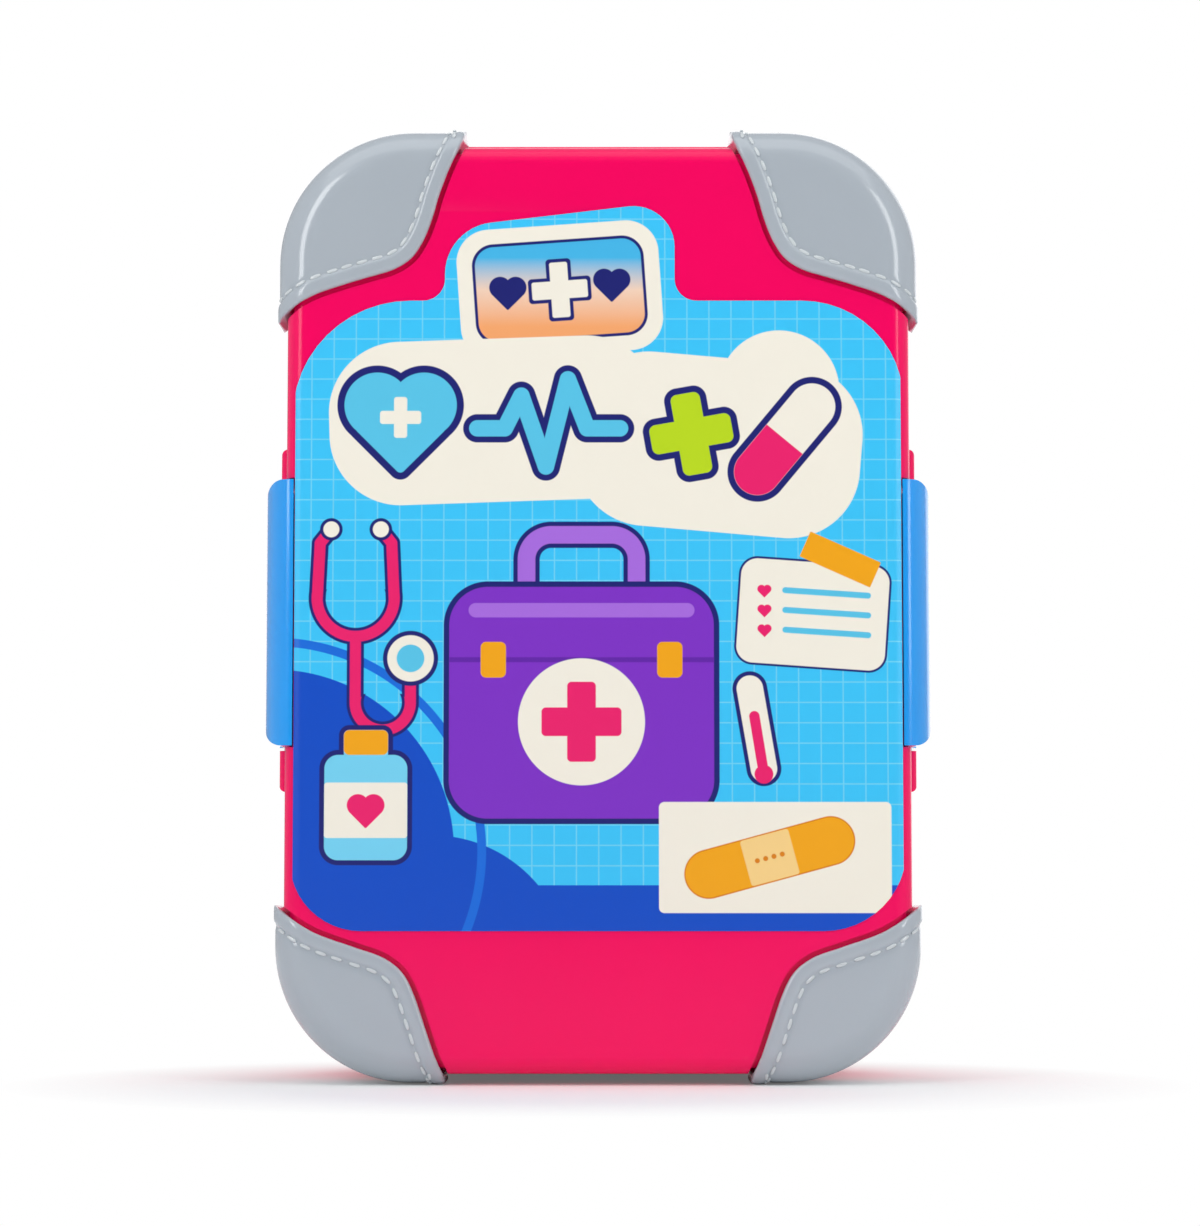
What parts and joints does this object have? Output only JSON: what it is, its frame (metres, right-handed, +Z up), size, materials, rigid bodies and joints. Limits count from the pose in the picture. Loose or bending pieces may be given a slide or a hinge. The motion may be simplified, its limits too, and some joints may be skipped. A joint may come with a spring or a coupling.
{
  "type": "toy doctor trolley case",
  "caption": "Child's upright trolley case for a doctor play set: hinged shells with corner guards, clasp, pull-out handle, wheels and a play worktop with sink and tap inside.",
  "frame": {"origin": "on the floor under the middle of the closed case", "axes": "+X across the case to the hinge side, +Y from the labelled front to the back, +Z up along the height"},
  "size_m": [0.244, 0.132, 0.35],
  "materials": {
    "pink_shell": "glossy moulded polypropylene",
    "grey_guard": "glossy soft grey vinyl look with moulded stitches",
    "printed_label": "satin printed film",
    "cream_plastic": "semi-gloss",
    "screen_print": "printed film",
    "dial_print": "printed film",
    "mat_print": "printed film",
    "blue_plastic": "glossy",
    "blue_clasp": "glossy, slightly translucent",
    "rose_plastic": "glossy",
    "lime_plastic": "glossy",
    "grey_plastic": "satin",
    "screw_steel": "zinc plated",
    "pin_steel": "bright drawn"
  },
  "bodies": {
    "base": {"base_shell": "pink_shell", "worktop": "cream_plastic", "worktop_mat": "mat_print", "worktop_screws": "screw_steel", "hinge_pin": "pin_steel", "latch_pin": "pin_steel", "guide_left": "grey_plastic", "guide_right": "grey_plastic", "guide_screws": "screw_steel", "axle_left": "pin_steel", "axle_right": "pin_steel"},
    "lid": {"lid_shell": "pink_shell", "guard_top_left": "grey_guard", "guard_top_right": "grey_guard", "guard_bottom_left": "grey_guard", "guard_bottom_right": "grey_guard", "front_label": "printed_label", "console": "cream_plastic", "console_screen": "screen_print", "console_dials": "dial_print", "tool_rail": "cream_plastic", "lid_screws": "screw_steel", "toy_mirror": "blue_plastic", "toy_thermometer": "rose_plastic", "toy_otoscope": "lime_plastic", "hinge_leaf": "blue_clasp", "leaf_screws": "screw_steel"},
    "latch": {"latch": "blue_clasp"},
    "tap": {"tap": "cream_plastic"},
    "handle": {"handle_grip": "cream_plastic", "bar_left": "cream_plastic", "bar_right": "cream_plastic", "button_spring": "pin_steel"},
    "button": {"handle_button": "blue_plastic"},
    "wheel_left": {"wheel_left": "grey_plastic", "wheel_cap_left": "blue_plastic"},
    "wheel_right": {"wheel_right": "grey_plastic", "wheel_cap_right": "blue_plastic"}
  },
  "joints": [
    {"name": "lid_hinge", "type": "hinge", "parent": "base", "child": "lid", "pos_m": [0.1163, -0.019, 0.171], "axis": [0, 0, 1], "range_deg": [0, 100]},
    {"name": "latch_pivot", "type": "hinge", "parent": "base", "child": "latch", "pos_m": [-0.1163, -0.019, 0.171], "axis": [0, 0, -1], "range_deg": [0, 100]},
    {"name": "tap_swivel", "type": "hinge", "parent": "base", "child": "tap", "pos_m": [0.057, -0.03, 0.042], "axis": [0, -1, 0], "range_deg": [-90, 90]},
    {"name": "handle_pull", "type": "slide", "parent": "base", "child": "handle", "axis": [0, 0, 1], "range_m": [0, 0.15]},
    {"name": "button_press", "type": "slide", "parent": "handle", "child": "button", "axis": [0, 0, -1], "range_m": [0, 0.003], "stiffness_N_per_m": 300, "springref_m": -0.002, "deforming": ["button_spring"]},
    {"name": "wheel_left_spin", "type": "hinge", "parent": "base", "child": "wheel_left", "pos_m": [-0.072, 0.05, 0.016], "axis": [1, 0, 0], "continuous": true},
    {"name": "wheel_right_spin", "type": "hinge", "parent": "base", "child": "wheel_right", "pos_m": [0.072, 0.05, 0.016], "axis": [1, 0, 0], "continuous": true}
  ]
}
